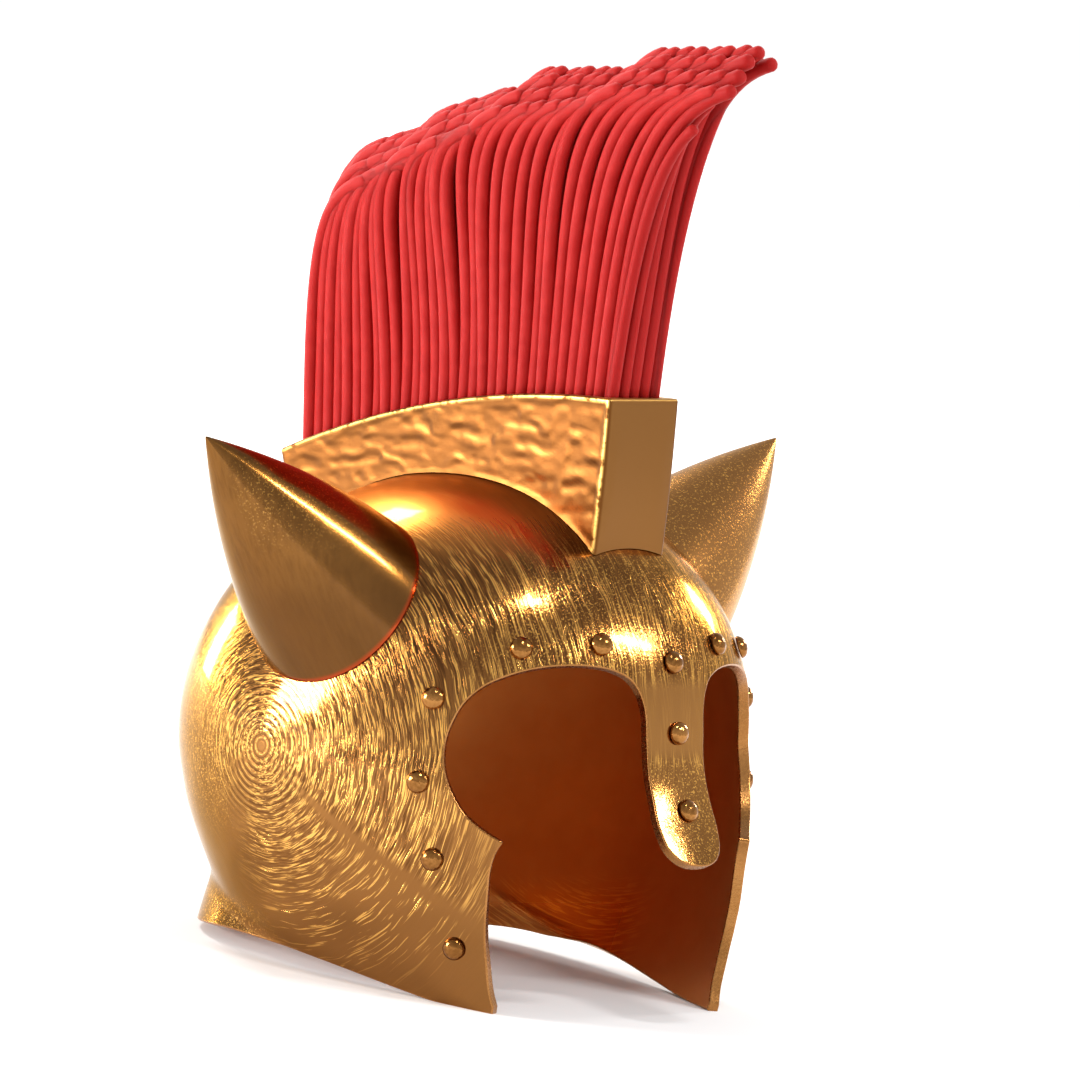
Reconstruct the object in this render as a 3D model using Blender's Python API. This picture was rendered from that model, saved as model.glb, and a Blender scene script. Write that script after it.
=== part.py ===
"""Open-faced crested helm with two horns, as separate pieces.

The shape is set out in drawing units (one unit is 0.456 mm) in the helm's own frame:
x to the wearer's left, f forward, z up from the ear line. The last step leans the helm
back until both cheek tips and the back rim stand on the floor, and gives metres, +Z up,
front towards -Y.
"""

import math

import bmesh
import bpy
import numpy as np
from mathutils import Matrix, Vector
from mathutils.geometry import delaunay_2d_cdt

for old in list(bpy.data.objects):
    bpy.data.objects.remove(old)

UNIT = 0.000456
WALL = 11.5
GAP = 0.7
DOME_TOP, DOME_SIDE, DOME_FRONT, DOME_BACK = 267.0, 274.0, 300.0, 299.5
FRONT_FULLNESS = 2.25
LEAN = math.radians(11.3)
FOOT_TRIM = 0.0006
PER_V = DOME_TOP * math.pi / 2

# z and the half-size of the section there, below the ear line
SIDE = ((36, 273.5), (0, 274), (-36, 273.5), (-72, 267.5), (-104, 259), (-132, 248.5), (-168, 234), (-192, 222.5), (-216, 210.5), (-240, 200), (-264, 193.5), (-300, 188))
FRONT = ((36, 305.5), (0, 300), (-36, 305.5), (-72, 310), (-104, 309), (-140, 316), (-180, 332), (-215, 350), (-240, 361), (-262, 360), (-300, 352))
BACK = ((34, 293), (0, 299.5), (-34, 293), (-72, 284), (-104, 271), (-140, 257), (-180, 242), (-220, 232), (-300, 217))
NASAL = ((34, 302), (0, 300), (-34, 302), (-74, 313), (-98, 322), (-150, 341))

# f and z of the lower rim
RIM = ((-330, -172.5), (-259, -180), (-190, -186), (-124, -192.5), (-65, -204), (-18, -216), (23, -228), (61, -240), (99, -252), (138, -264), (196, -275.6), (230, -282))

# x and z of the face opening, from the nasal tip round the eye to the cheek
OPENING_EYE = ((0, -128.5), (15, -127), (28, -121), (37, -110), (40.5, -94), (40, -60), (40, 0), (42, 30), (47, 45), (56, 57), (72, 65.5), (93, 70), (118, 71), (146, 68), (168, 61), (186, 51), (200, 36), (209.5, 15), (214.5, -8), (215.6, -32), (211, -55), (199, -81), (188.2, -93), (174.5, -104.5))
OPENING_CHEEK = ((174.5, -104.5), (178, -115), (180, -132), (179.8, -152), (178.8, -172), (175.3, -200), (170, -225), (164, -252), (159.8, -269))

# x and z of the rivets; each with x above 0 is one of a pair
RIVETS = (("brow_mid", 0, 74), ("brow_inner", 80.8, 92), ("brow_outer", 152.9, 88.5), ("temple", 219.2, 39), ("cheek_upper", 230, -44), ("cheek_mid", 213, -121), ("cheek_lower", 185.7, -210), ("nasal_upper", 0, 3.5), ("nasal_lower", 0, -73.7))
RIVET_RADIUS, RIVET_HEIGHT = 11.6, 9.0

HORN_TIP, HORN_FOOT = Vector((403.5, 39.6, 299.5)), Vector((209, 35, 135))
HORN_SLOPE, HORN_BEND, HORN_WALL = 0.56, 0.0007, 4.0

CREST_HALF, CREST_WALL = 49.0, 4.4
CREST_TOP_F, CREST_FOOT_F = (-213.3, 253.3), (-189.0, 230.7)
CREST_RADIUS, CREST_APEX = 1180.0, (140.0, 342.0)

# first and last column of each group of strands: f and z of the tips of the tallest row
PLUME_GROUPS = ((0, 7, -138, -51, 589, 609), (8, 15, -38, 54, 622, 643), (16, 23, 105, 240, 662, 662), (24, 31, 263, 399, 680, 680))
PLUME_ROWS = ((-36.8, -40), (-31, -40), (-15.5, -21), (0, -9), (15.5, 0), (31, -11), (36.8, -11))
PLUME_ROOT = (-191.0, 232.0)
STRAND = 6.0


def smooth(table, at):
    """Cubic curve through the rows of a table, read at one or many places."""
    rows = np.array(sorted(table), float)
    x, y = rows[:, 0], rows[:, 1]
    slope = np.gradient(y, x)
    at = np.clip(np.asarray(at, float), x[0], x[-1])
    i = np.clip(np.searchsorted(x, at) - 1, 0, len(x) - 2)
    h = x[i + 1] - x[i]
    t = (at - x[i]) / h
    return (
        y[i] * (1 + 2 * t) * (1 - t) ** 2
        + slope[i] * h * t * (1 - t) ** 2
        + y[i + 1] * t * t * (3 - 2 * t)
        + slope[i + 1] * h * t * t * (t - 1)
    )


def step(low, high, at):
    t = np.clip((at - low) / (high - low), 0, 1)
    return t * t * (3 - 2 * t)


def flare(f, z):
    """How far the neck turns out. The bend runs lower towards the front and dies out there."""
    bend = np.where(f > -200, -134 - 0.49 * (f + 200), -134 - 0.2 * (f + 200))
    depth, soft = bend - z, 9.0
    eased = np.where(depth < soft, np.maximum(depth + soft, 0) ** 2 / (4 * soft), depth)
    return 0.78 * eased * step(0, -60, f)


def skin(p, q):
    """Outer surface. p, q lie on a disc: the angle from the front, and the way down from the crown."""
    p, q = np.asarray(p, float), np.asarray(q, float)
    turn, v = np.arctan2(p, q), np.hypot(p, q)
    on_dome = v <= 1
    arc = np.minimum(v, 1) * math.pi / 2
    c, s = np.cos(arc), np.sin(arc)
    z = np.where(on_dome, DOME_TOP * c, (1 - v) * PER_V)
    side = np.where(on_dome, DOME_SIDE * s, smooth(SIDE, np.minimum(z, 0)))
    back = np.where(on_dome, DOME_BACK * s, smooth(BACK, np.minimum(z, 0)))
    full = DOME_FRONT * np.maximum(1 - c**FRONT_FULLNESS, 0) ** (1 / FRONT_FULLNESS)
    low = smooth(FRONT, np.minimum(z, 0))
    nose = smooth(NASAL, np.minimum(z, 0))
    low = low + (nose - low) * (1 - step(0.22, 0.58, np.abs(turn)))
    front = np.where(on_dome, full, low)
    x, ahead = side * np.sin(turn), np.cos(turn)
    f = np.where(ahead > 0, front, back) * ahead
    nx, nf = np.sin(turn) / np.maximum(side, 1), ahead / np.maximum(back, 1)
    size = np.maximum(np.hypot(nx, nf), 1e-9)
    out = np.where((ahead < 0) & ~on_dome, flare(f, z), 0)
    return np.stack([x + out * nx / size, f + out * nf / size, z], axis=-1)


def skin_normal(p, q):
    e = 0.004
    dp = skin(p + e, q) - skin(p - e, q)
    dq = skin(p, q + e) - skin(p, q - e)
    n = np.cross(dp, dq)
    return n / np.linalg.norm(n, axis=-1, keepdims=True)


def dome_z(x, f):
    """Height of the dome over x, f."""
    low, high = 0.0, DOME_TOP
    for _ in range(50):
        z = (low + high) / 2
        side = DOME_SIDE * math.sqrt(max(1 - (z / DOME_TOP) ** 2, 1e-12))
        if f > 0:
            along = DOME_FRONT * max(1 - (z / DOME_TOP) ** FRONT_FULLNESS, 1e-12) ** (1 / FRONT_FULLNESS)
        else:
            along = DOME_BACK / DOME_SIDE * side
        inside = (x / side) ** 2 + (f / along) ** 2 < 1
        low, high = (z, high) if inside else (low, z)
    return low


def place(point):
    """Helm frame to the object's frame, before it is set down on the floor."""
    x, y, z = point[0] * UNIT, -point[1] * UNIT, point[2] * UNIT
    c, s = math.cos(LEAN), math.sin(LEAN)
    return Vector((x, y * c + z * s, z * c - y * s))


def piece(name, points, faces, material):
    mesh = bpy.data.meshes.new(name)
    mesh.from_pydata([place(p) for p in points], [], [tuple(f) for f in faces])
    mesh.materials.append(material)
    build = bmesh.new()
    build.from_mesh(mesh)
    bmesh.ops.remove_doubles(build, verts=build.verts, dist=1e-7)
    bmesh.ops.delete(build, geom=[v for v in build.verts if not v.link_faces], context="VERTS")
    bmesh.ops.recalc_face_normals(build, faces=build.faces)
    if build.calc_volume(signed=True) < 0:
        bmesh.ops.reverse_faces(build, faces=build.faces)
    build.to_mesh(mesh)
    build.free()
    mesh.shade_smooth()
    mesh.set_sharp_from_angle(angle=math.radians(40))
    obj = bpy.data.objects.new(name, mesh)
    bpy.context.scene.collection.objects.link(obj)
    return obj


def cut(obj, cutter):
    cutter.hide_render = True
    cutter.display_type = "WIRE"
    mod = obj.modifiers.new("cut_" + cutter.name, "BOOLEAN")
    mod.operation = "DIFFERENCE"
    mod.solver = "EXACT"
    mod.object = cutter


def metal(name, colour, rough):
    mat = bpy.data.materials.new(name)
    mat.use_nodes = True
    node = mat.node_tree.nodes["Principled BSDF"]
    node.inputs["Base Color"].default_value = (*colour, 1)
    node.inputs["Metallic"].default_value = 1
    node.inputs["Roughness"].default_value = rough
    return mat


def cloth(name, colour):
    mat = bpy.data.materials.new(name)
    mat.use_nodes = True
    node = mat.node_tree.nodes["Principled BSDF"]
    node.inputs["Base Color"].default_value = (*colour, 1)
    node.inputs["Roughness"].default_value = 0.8
    return mat


def disc_of(x, z, ahead=True):
    """Place on the disc of a point of the front, given x and z."""
    v = math.acos(z / DOME_TOP) / (math.pi / 2) if z > 0 else 1 - z / PER_V
    side = DOME_SIDE * math.sqrt(1 - (z / DOME_TOP) ** 2) if z > 0 else float(smooth(SIDE, z))
    turn = math.asin(max(-1, min(1, x / side)))
    return v * math.sin(turn), v * math.cos(turn)


def resample(points, gap):
    """Points at even steps along a smooth curve through the given ones."""
    pts = np.array(points, float)
    reach = np.concatenate([[0], np.cumsum(np.linalg.norm(np.diff(pts, axis=0), axis=1))])
    count = max(2, round(reach[-1] / gap))
    at = np.linspace(0, reach[-1], count + 1)
    return np.stack([smooth(list(zip(reach, pts[:, k])), at) for k in (0, 1)], axis=-1)


def rim_places(gap):
    """Disc places along the lower rim, from the cheek tip to the middle of the back."""
    start = math.acos(197.0 / 356.0)
    count = round(760 / gap)
    found = []
    for turn in np.linspace(start, math.pi, count + 1):
        z = -200.0
        for _ in range(40):
            v = 1 - z / PER_V
            f = skin(v * math.sin(turn), v * math.cos(turn))[1]
            z = 0.5 * z + 0.5 * float(smooth(RIM, f))
        found.append((v * math.sin(turn), v * math.cos(turn)))
    return found


def outline(gap):
    """The one edge of the shell as a loop on the disc."""
    eye = [disc_of(x, z) for x, z in resample(OPENING_EYE, gap)]
    cheek = [disc_of(x, z) for x, z in resample(OPENING_CHEEK, gap)]
    half = eye + cheek[1:] + rim_places(gap)
    return half + [(-p, q) for p, q in half[-2:0:-1]]


def even(place_on_disc):
    """The disc stretched so that lengths along and across the skin keep their ratio, which gives well-shaped triangles."""
    v = place_on_disc.length
    return place_on_disc * ((math.tan(v * math.pi / 4) if v < 1 else math.exp((v - 1) * math.pi / 2)) / max(v, 1e-9))


def uneven(stretched):
    r = stretched.length
    return stretched * ((4 / math.pi * math.atan(r) if r < 1 else 1 + math.log(r) * 2 / math.pi) / max(r, 1e-9))


def shell_mesh(gap, spacing):
    edge = outline(gap)
    ring = skin(*np.array(edge).T)
    inner, v = [(0.0, 0.0)], spacing / PER_V
    turn_on = 0.0
    while v < 1.75:
        around = skin(*(v * np.array([np.sin(np.linspace(0, 2 * math.pi, 61)), np.cos(np.linspace(0, 2 * math.pi, 61))])))
        count = 2 * max(3, round(np.linalg.norm(np.diff(around, axis=0), axis=1).sum() / spacing / 2))
        turn_on = 0.5 - turn_on
        for k in range(count):
            turn = 2 * math.pi * (k + turn_on) / count
            inner.append((v * math.sin(turn), v * math.cos(turn)))
        v += 0.9 * spacing / PER_V
    spots = skin(*np.array(inner).T)
    away = np.linalg.norm(spots[:, None] - ring[None], axis=2).min(axis=1)
    kept = [Vector(p) for p, d in zip(inner, away) if d > 0.55 * spacing]
    loop = [Vector(p) for p in edge]
    n = len(loop)
    flat, _, tris, *_ = delaunay_2d_cdt([even(p) for p in loop + kept], [(i, (i + 1) % n) for i in range(n)], [], 1, 1e-7)
    at = np.array([tuple(uneven(p)) for p in flat])
    outer, normal = skin(at[:, 0], at[:, 1]), skin_normal(at[:, 0], at[:, 1])
    m = len(at)
    points = np.concatenate([outer, outer - WALL * normal])
    faces = [tuple(t) for t in tris] + [tuple(i + m for i in reversed(t)) for t in tris]
    count = {}
    for a, b, c in tris:
        for e in ((a, b), (b, c), (c, a)):
            count[tuple(sorted(e))] = e if tuple(sorted(e)) not in count else None
    faces += [(b, a, a + m, b + m) for a, b in (e for e in count.values() if e)]
    return points, faces


def rings(loops, cap_first=True, cap_last=True):
    """Faces between closed loops of the same length, with the two ends closed."""
    n, faces = len(loops[0]), []
    for i in range(len(loops) - 1):
        for k in range(n):
            a, b = i * n + k, i * n + (k + 1) % n
            faces.append((a, b, b + n, a + n))
    if cap_first:
        faces.append(tuple(range(n)))
    if cap_last:
        faces.append(tuple(range((len(loops) - 1) * n, len(loops) * n)))
    return [p for loop in loops for p in loop], faces


def outside_dome(point):
    """About how far a point lies outside the dome."""

    def value(x, f, z):
        z = max(min(z, DOME_TOP - 0.5), 0)
        along = DOME_FRONT if f > 0 else DOME_BACK
        power = FRONT_FULLNESS if f > 0 else 2.0
        side = DOME_SIDE * math.sqrt(1 - (z / DOME_TOP) ** 2)
        reach = along * (1 - (z / DOME_TOP) ** power) ** (1 / power)
        return (x / side) ** 2 + (f / reach) ** 2 - 1

    x, f, z = point
    e = 0.05
    slope = Vector((value(x + e, f, z) - value(x - e, f, z), value(x, f + e, z) - value(x, f - e, z), value(x, f, z + e) - value(x, f, z - e))) / (2 * e)
    return value(x, f, z) / slope.length


def horn_mesh(around, along):
    """Hollow pointed cone whose open foot follows the dome."""
    axis = (HORN_FOOT - HORN_TIP).normalized()
    first = axis.cross(Vector((0, 0, 1))).normalized()
    second = axis.cross(first)

    def at(s, angle, inset):
        radius = HORN_SLOPE * s - HORN_BEND * s * s - inset
        return HORN_TIP + axis * s + (first * math.cos(angle) + second * math.sin(angle)) * radius

    def foot(angle, inset):
        low, high = 100.0, 330.0
        for _ in range(40):
            s = (low + high) / 2
            low, high = (s, high) if outside_dome(at(s, angle, inset)) > GAP else (low, s)
        return low

    angles = [2 * math.pi * k / around for k in range(around)]
    loops = []
    for inset, start in ((0.0, 2.5), (HORN_WALL * 1.1, HORN_WALL * 3.2)):
        ends = [foot(a, inset) for a in angles]
        one = []
        for i in range(along + 1):
            t = (i / along) ** 1.15
            one.append([at(start + (end - start) * t, a, inset) for a, end in zip(angles, ends)])
        loops += one if inset == 0.0 else one[::-1]
    return rings(loops)


def crest_z(f):
    return CREST_APEX[1] - CREST_RADIUS + math.sqrt(CREST_RADIUS**2 - (f - CREST_APEX[0]) ** 2)


def crest_block(first, last, half, up, down, along, across):
    """Block between the dome and the crest's top arc; first and last run 0 to 1 along it."""
    rows = []
    for i in range(along + 1):
        u = first + (last - first) * i / along
        top = CREST_TOP_F[0] + (CREST_TOP_F[1] - CREST_TOP_F[0]) * u
        foot = CREST_FOOT_F[0] + (CREST_FOOT_F[1] - CREST_FOOT_F[0]) * u
        xs = [half * (2 * k / across - 1) for k in range(across + 1)]
        loop = [Vector((x, foot, dome_z(x, foot) + down)) for x in xs]
        loop += [Vector((x, top, crest_z(top) + up)) for x in reversed(xs)]
        rows.append(loop)
    return rings(rows)


def slot_block(first, last, half, along):
    """Upright block through the crest's top, where the plume's root stands."""
    rows = []
    for f in np.linspace(first, last, along + 1):
        low, high = crest_z(f) - 30, crest_z(f) + 12
        rows.append([Vector((-half, f, low)), Vector((half, f, low)), Vector((half, f, high)), Vector((-half, f, high))])
    return rings(rows)


def tip_of(column, row_drop):
    """f and z of a strand's tip."""
    for first, last, f0, f1, z0, z1 in PLUME_GROUPS:
        if column <= last + 0.5:
            t = (column - first) / (last - first)
            return f0 + (f1 - f0) * t - row_drop * (0.72 - 0.6 * column / 31), z0 + (z1 - z0) * t + row_drop * (0.65 + 0.35 * column / 31)
    return None


def strand_path(column, row_drop, count):
    """Middle line of a strand from its root to its tip, which curls forward."""
    u = column / 31
    root = np.array([PLUME_ROOT[0] + (PLUME_ROOT[1] - PLUME_ROOT[0]) * u, 0.0])
    root[1] = crest_z(root[0]) - 14
    tip = np.array(tip_of(column, row_drop))
    rise = tip[1] - root[1]
    sway = (row_drop + 11) * 0.28 * u
    one = root + np.array([8 + 31 * u + sway, rise * (0.62 - 0.02 * u)])
    two = tip + np.array([sway - 80 - 20 * u, -14 - 8 * u])
    t = np.linspace(0, 1, count)[:, None]
    return root * (1 - t) ** 3 + 3 * one * t * (1 - t) ** 2 + 3 * two * t * t * (1 - t) + tip * t**3


def beside(path, by):
    """The path moved sideways, to its back for by above 0."""
    along = np.gradient(path, axis=0)
    along /= np.linalg.norm(along, axis=1, keepdims=True)
    return path + by * np.stack([-along[:, 1], along[:, 0]], axis=-1)


def plume_profile(row_drop):
    back = beside(strand_path(0, row_drop, 15), STRAND)
    top = []
    for first, last, *_ in PLUME_GROUPS:
        for column in (first, (first + last) / 2, last):
            f, z = tip_of(column, row_drop)
            if column == first and first:
                top.append((f - 14, z - 6))
            top.append((f, z + STRAND))
    f, z = tip_of(31, row_drop)
    nose = [(f + 5, z + 3), (f + 5, z - 4)]
    front = beside(strand_path(31, row_drop, 15), -STRAND)[::-1][1:]
    foot = [(f, crest_z(f) - 14) for f in np.linspace(PLUME_ROOT[1] + 6, PLUME_ROOT[0] - 6, 10)[1:-1]]
    return [tuple(p) for p in back[:-1]] + top + nose + [tuple(p) for p in front] + foot


def rivet_mesh(x, z):
    p, q = disc_of(x, z)
    seat = Vector(skin(p, q))
    normal = Vector(skin_normal(p, q))
    side = normal.cross(Vector((0, 0, 1))).normalized()
    up = side.cross(normal)
    loops = []
    for radius, height in ((1, 0), (0.93, 0.45), (0.7, 0.78), (0.36, 0.95)):
        loops.append([seat + normal * (GAP + height * RIVET_HEIGHT) + (side * math.cos(a) + up * math.sin(a)) * radius * RIVET_RADIUS for a in (2 * math.pi * k / 12 for k in range(12))])
    points, faces = rings(loops, cap_last=False)
    points.append(seat + normal * (GAP + RIVET_HEIGHT))
    faces += [(36 + k, 36 + (k + 1) % 12, 48) for k in range(12)]
    return points, faces


shell_metal = metal("shell_brass", (0.62, 0.33, 0.09), 0.32)
horn_metal = metal("horn_brass", (0.60, 0.32, 0.09), 0.3)
crest_metal = metal("crest_brass", (0.58, 0.31, 0.09), 0.34)
rivet_metal = metal("rivet_brass", (0.60, 0.32, 0.10), 0.3)
plume_cloth = cloth("plume_red", (0.72, 0.035, 0.035))

shell = piece("shell", *shell_mesh(13, 29), shell_metal)

points, faces = horn_mesh(34, 7)
horns = [piece("horn_left", points, faces, horn_metal)]
horns.append(piece("horn_right", [Vector((-p[0], p[1], p[2])) for p in points], faces, horn_metal))

crest = piece("crest_box", *crest_block(0, 1, CREST_HALF, 0, 1.0, 36, 6), crest_metal)
thin = CREST_WALL / (CREST_TOP_F[1] - CREST_TOP_F[0])
cavity = piece("crest_cavity", *crest_block(thin, 1 - thin, CREST_HALF - CREST_WALL, -CREST_WALL, -25, 36, 6), crest_metal)
slot = piece("crest_slot", *slot_block(PLUME_ROOT[0] - STRAND - 1.5, PLUME_ROOT[1] + STRAND + 3, PLUME_ROWS[-1][0] + 1, 30), crest_metal)
cut(crest, cavity)
cut(crest, slot)

profiles = [[Vector((x, f, z)) for f, z in plume_profile(drop)] for x, drop in PLUME_ROWS]
plume = piece("plume", *rings(profiles), plume_cloth)

rivets = []
for name, x, z in RIVETS:
    for sign, ending in ((-1, "_right"), (1, "_left")) if x else ((1, ""),):
        rivets.append(piece("rivet_" + name + ending, *rivet_mesh(sign * x, z), rivet_metal))

# Set the helm down: its lowest points go a little below the floor level and are trimmed flat there.
every = [shell, *horns, crest, cavity, slot, plume, *rivets]
lowest = min(v.co.z for v in shell.data.vertices)
solid = [o for o in every if not o.hide_render]
ends = [v.co.y for o in solid for v in o.data.vertices]
shift = Vector((0, -(min(ends) + max(ends)) / 2, -lowest - FOOT_TRIM))
for obj in every:
    obj.data.transform(Matrix.Translation(shift))

floor = bpy.data.meshes.new("floor_trim")
block = bmesh.new()
bmesh.ops.create_cube(block, size=1.0)
bmesh.ops.transform(block, matrix=Matrix.Translation((0, 0, -0.05)) @ Matrix.Diagonal((0.8, 0.8, 0.1, 1)), verts=block.verts)
block.to_mesh(floor)
block.free()
trim = bpy.data.objects.new("floor_trim", floor)
bpy.context.scene.collection.objects.link(trim)
cut(shell, trim)
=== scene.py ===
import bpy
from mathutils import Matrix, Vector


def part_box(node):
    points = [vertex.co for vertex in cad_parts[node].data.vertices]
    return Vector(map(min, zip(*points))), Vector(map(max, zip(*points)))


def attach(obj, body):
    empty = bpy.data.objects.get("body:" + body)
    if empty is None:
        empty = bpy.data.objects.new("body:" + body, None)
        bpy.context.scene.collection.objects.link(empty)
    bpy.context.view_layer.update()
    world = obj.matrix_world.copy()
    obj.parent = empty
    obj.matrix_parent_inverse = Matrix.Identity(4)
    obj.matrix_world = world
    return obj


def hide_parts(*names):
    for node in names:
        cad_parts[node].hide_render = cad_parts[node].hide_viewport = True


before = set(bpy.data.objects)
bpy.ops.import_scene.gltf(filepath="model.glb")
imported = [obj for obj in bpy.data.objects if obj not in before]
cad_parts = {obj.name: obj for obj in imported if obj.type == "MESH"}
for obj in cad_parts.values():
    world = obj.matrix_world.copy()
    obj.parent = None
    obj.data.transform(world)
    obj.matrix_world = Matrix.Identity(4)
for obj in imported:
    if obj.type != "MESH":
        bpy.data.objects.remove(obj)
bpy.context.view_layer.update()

import math

import bmesh
import bpy
import numpy as np
from mathutils import Matrix, Vector
from mathutils.geometry import delaunay_2d_cdt

# ---------------------------------------------------------------- the helm's own drawing units
# One unit is 0.456 mm: x to the wearer's left, f forward, z up from the ear line.
UNIT = 0.000456
WALL = 11.5
GAP = 0.7
DOME_TOP, DOME_SIDE, DOME_FRONT, DOME_BACK = 267.0, 274.0, 300.0, 299.5
FRONT_FULLNESS = 2.25
LEAN = math.radians(11.3)
PER_V = DOME_TOP * math.pi / 2
SIDE = ((36, 273.5), (0, 274), (-36, 273.5), (-72, 267.5), (-104, 259), (-132, 248.5), (-168, 234), (-192, 222.5), (-216, 210.5), (-240, 200), (-264, 193.5), (-300, 188))
FRONT = ((36, 305.5), (0, 300), (-36, 305.5), (-72, 310), (-104, 309), (-140, 316), (-180, 332), (-215, 350), (-240, 361), (-262, 360), (-300, 352))
BACK = ((34, 293), (0, 299.5), (-34, 293), (-72, 284), (-104, 271), (-140, 257), (-180, 242), (-220, 232), (-300, 217))
NASAL = ((34, 302), (0, 300), (-34, 302), (-74, 313), (-98, 322), (-150, 341))
RIM = ((-330, -172.5), (-259, -180), (-190, -186), (-124, -192.5), (-65, -204), (-18, -216), (23, -228), (61, -240), (99, -252), (138, -264), (196, -275.6), (230, -282))
OPENING_EYE = ((0, -128.5), (15, -127), (28, -121), (37, -110), (40.5, -94), (40, -60), (40, 0), (42, 30), (47, 45), (56, 57), (72, 65.5), (93, 70), (118, 71), (146, 68), (168, 61), (186, 51), (200, 36), (209.5, 15), (214.5, -8), (215.6, -32), (211, -55), (199, -81), (188.2, -93), (174.5, -104.5))
OPENING_CHEEK = ((174.5, -104.5), (178, -115), (180, -132), (179.8, -152), (178.8, -172), (175.3, -200), (170, -225), (164, -252), (159.8, -269))
RIVETS = (("brow_mid", 0, 74), ("brow_inner", 80.8, 92), ("brow_outer", 152.9, 88.5), ("temple", 219.2, 39), ("cheek_upper", 230, -44), ("cheek_mid", 213, -121), ("cheek_lower", 185.7, -210), ("nasal_upper", 0, 3.5), ("nasal_lower", 0, -73.7))
RIVET_RADIUS, RIVET_HEIGHT = 11.6, 9.0
HORN_TIP, HORN_FOOT = Vector((403.5, 39.6, 299.5)), Vector((209, 35, 135))
HORN_SLOPE, HORN_BEND, HORN_WALL = 0.56, 0.0007, 4.0
CREST_HALF, CREST_WALL = 49.0, 4.4
CREST_TOP_F, CREST_FOOT_F = (-213.3, 253.3), (-189.0, 230.7)
CREST_RADIUS, CREST_APEX = 1180.0, (140.0, 342.0)
PLUME_GROUPS = ((0, 7, -138, -51, 589, 609), (8, 15, -38, 54, 622, 643), (16, 23, 105, 240, 662, 662), (24, 31, 263, 399, 680, 680))
PLUME_ROOT = (-191.0, 232.0)
STRAND_ROWS = ((-31, -40), (-15.5, -21), (0, -9), (15.5, 0), (31, -11))
STRAND = 6.7
EDGE = 1.7


def smooth(table, at):
    rows = np.array(sorted(table), float)
    x, y = rows[:, 0], rows[:, 1]
    slope = np.gradient(y, x)
    at = np.clip(np.asarray(at, float), x[0], x[-1])
    i = np.clip(np.searchsorted(x, at) - 1, 0, len(x) - 2)
    h = x[i + 1] - x[i]
    t = (at - x[i]) / h
    return (
        y[i] * (1 + 2 * t) * (1 - t) ** 2
        + slope[i] * h * t * (1 - t) ** 2
        + y[i + 1] * t * t * (3 - 2 * t)
        + slope[i + 1] * h * t * t * (t - 1)
    )


def step(low, high, at):
    t = np.clip((at - low) / (high - low), 0, 1)
    return t * t * (3 - 2 * t)


def flare(f, z):
    bend = np.where(f > -200, -134 - 0.49 * (f + 200), -134 - 0.2 * (f + 200))
    depth, soft = bend - z, 9.0
    eased = np.where(depth < soft, np.maximum(depth + soft, 0) ** 2 / (4 * soft), depth)
    return 0.78 * eased * step(0, -60, f)


def skin(p, q):
    p, q = np.asarray(p, float), np.asarray(q, float)
    turn, v = np.arctan2(p, q), np.hypot(p, q)
    on_dome = v <= 1
    arc = np.minimum(v, 1) * math.pi / 2
    c, s = np.cos(arc), np.sin(arc)
    z = np.where(on_dome, DOME_TOP * c, (1 - v) * PER_V)
    side = np.where(on_dome, DOME_SIDE * s, smooth(SIDE, np.minimum(z, 0)))
    back = np.where(on_dome, DOME_BACK * s, smooth(BACK, np.minimum(z, 0)))
    full = DOME_FRONT * np.maximum(1 - c**FRONT_FULLNESS, 0) ** (1 / FRONT_FULLNESS)
    low = smooth(FRONT, np.minimum(z, 0))
    nose = smooth(NASAL, np.minimum(z, 0))
    low = low + (nose - low) * (1 - step(0.22, 0.58, np.abs(turn)))
    front = np.where(on_dome, full, low)
    x, ahead = side * np.sin(turn), np.cos(turn)
    f = np.where(ahead > 0, front, back) * ahead
    nx, nf = np.sin(turn) / np.maximum(side, 1), ahead / np.maximum(back, 1)
    size = np.maximum(np.hypot(nx, nf), 1e-9)
    out = np.where((ahead < 0) & ~on_dome, flare(f, z), 0)
    return np.stack([x + out * nx / size, f + out * nf / size, z], axis=-1)


def skin_normal(p, q):
    e = 0.004
    n = np.cross(skin(p + e, q) - skin(p - e, q), skin(p, q + e) - skin(p, q - e))
    return n / np.linalg.norm(n, axis=-1, keepdims=True)


def dome_z(x, f):
    low, high = 0.0, DOME_TOP
    for _ in range(36):
        z = (low + high) / 2
        side = DOME_SIDE * math.sqrt(max(1 - (z / DOME_TOP) ** 2, 1e-12))
        if f > 0:
            along = DOME_FRONT * max(1 - (z / DOME_TOP) ** FRONT_FULLNESS, 1e-12) ** (1 / FRONT_FULLNESS)
        else:
            along = DOME_BACK / DOME_SIDE * side
        low, high = (z, high) if (x / side) ** 2 + (f / along) ** 2 < 1 else (low, z)
    return low


def turned(points):
    """Helm frame to the object's axes, in metres, before the shift that sets it on the floor."""
    p = np.asarray(points, float).reshape(-1, 3)
    c, s = math.cos(LEAN), math.sin(LEAN)
    return np.stack([p[:, 0], -p[:, 1] * c + p[:, 2] * s, p[:, 2] * c + p[:, 1] * s], axis=-1) * UNIT


def crest_z(f):
    return CREST_APEX[1] - CREST_RADIUS + np.sqrt(CREST_RADIUS**2 - (np.asarray(f, float) - CREST_APEX[0]) ** 2)


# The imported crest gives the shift: its foremost points, at the foot of its front, and its highest are known in both frames.
_low, _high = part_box("crest_box")
_tops = np.array([(0, f, float(crest_z(f))) for f in np.linspace(CREST_TOP_F[0], CREST_TOP_F[1], 37)])
_foot = np.array([(CREST_HALF - 3.0, CREST_FOOT_F[1], dome_z(CREST_HALF - 3.0, CREST_FOOT_F[1]) + GAP)])
SHIFT = np.array([0.0, _low[1] - turned(_foot)[0, 1], _high[2] - turned(_tops)[:, 2].max()])


def placed(points):
    return turned(points) + SHIFT


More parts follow.
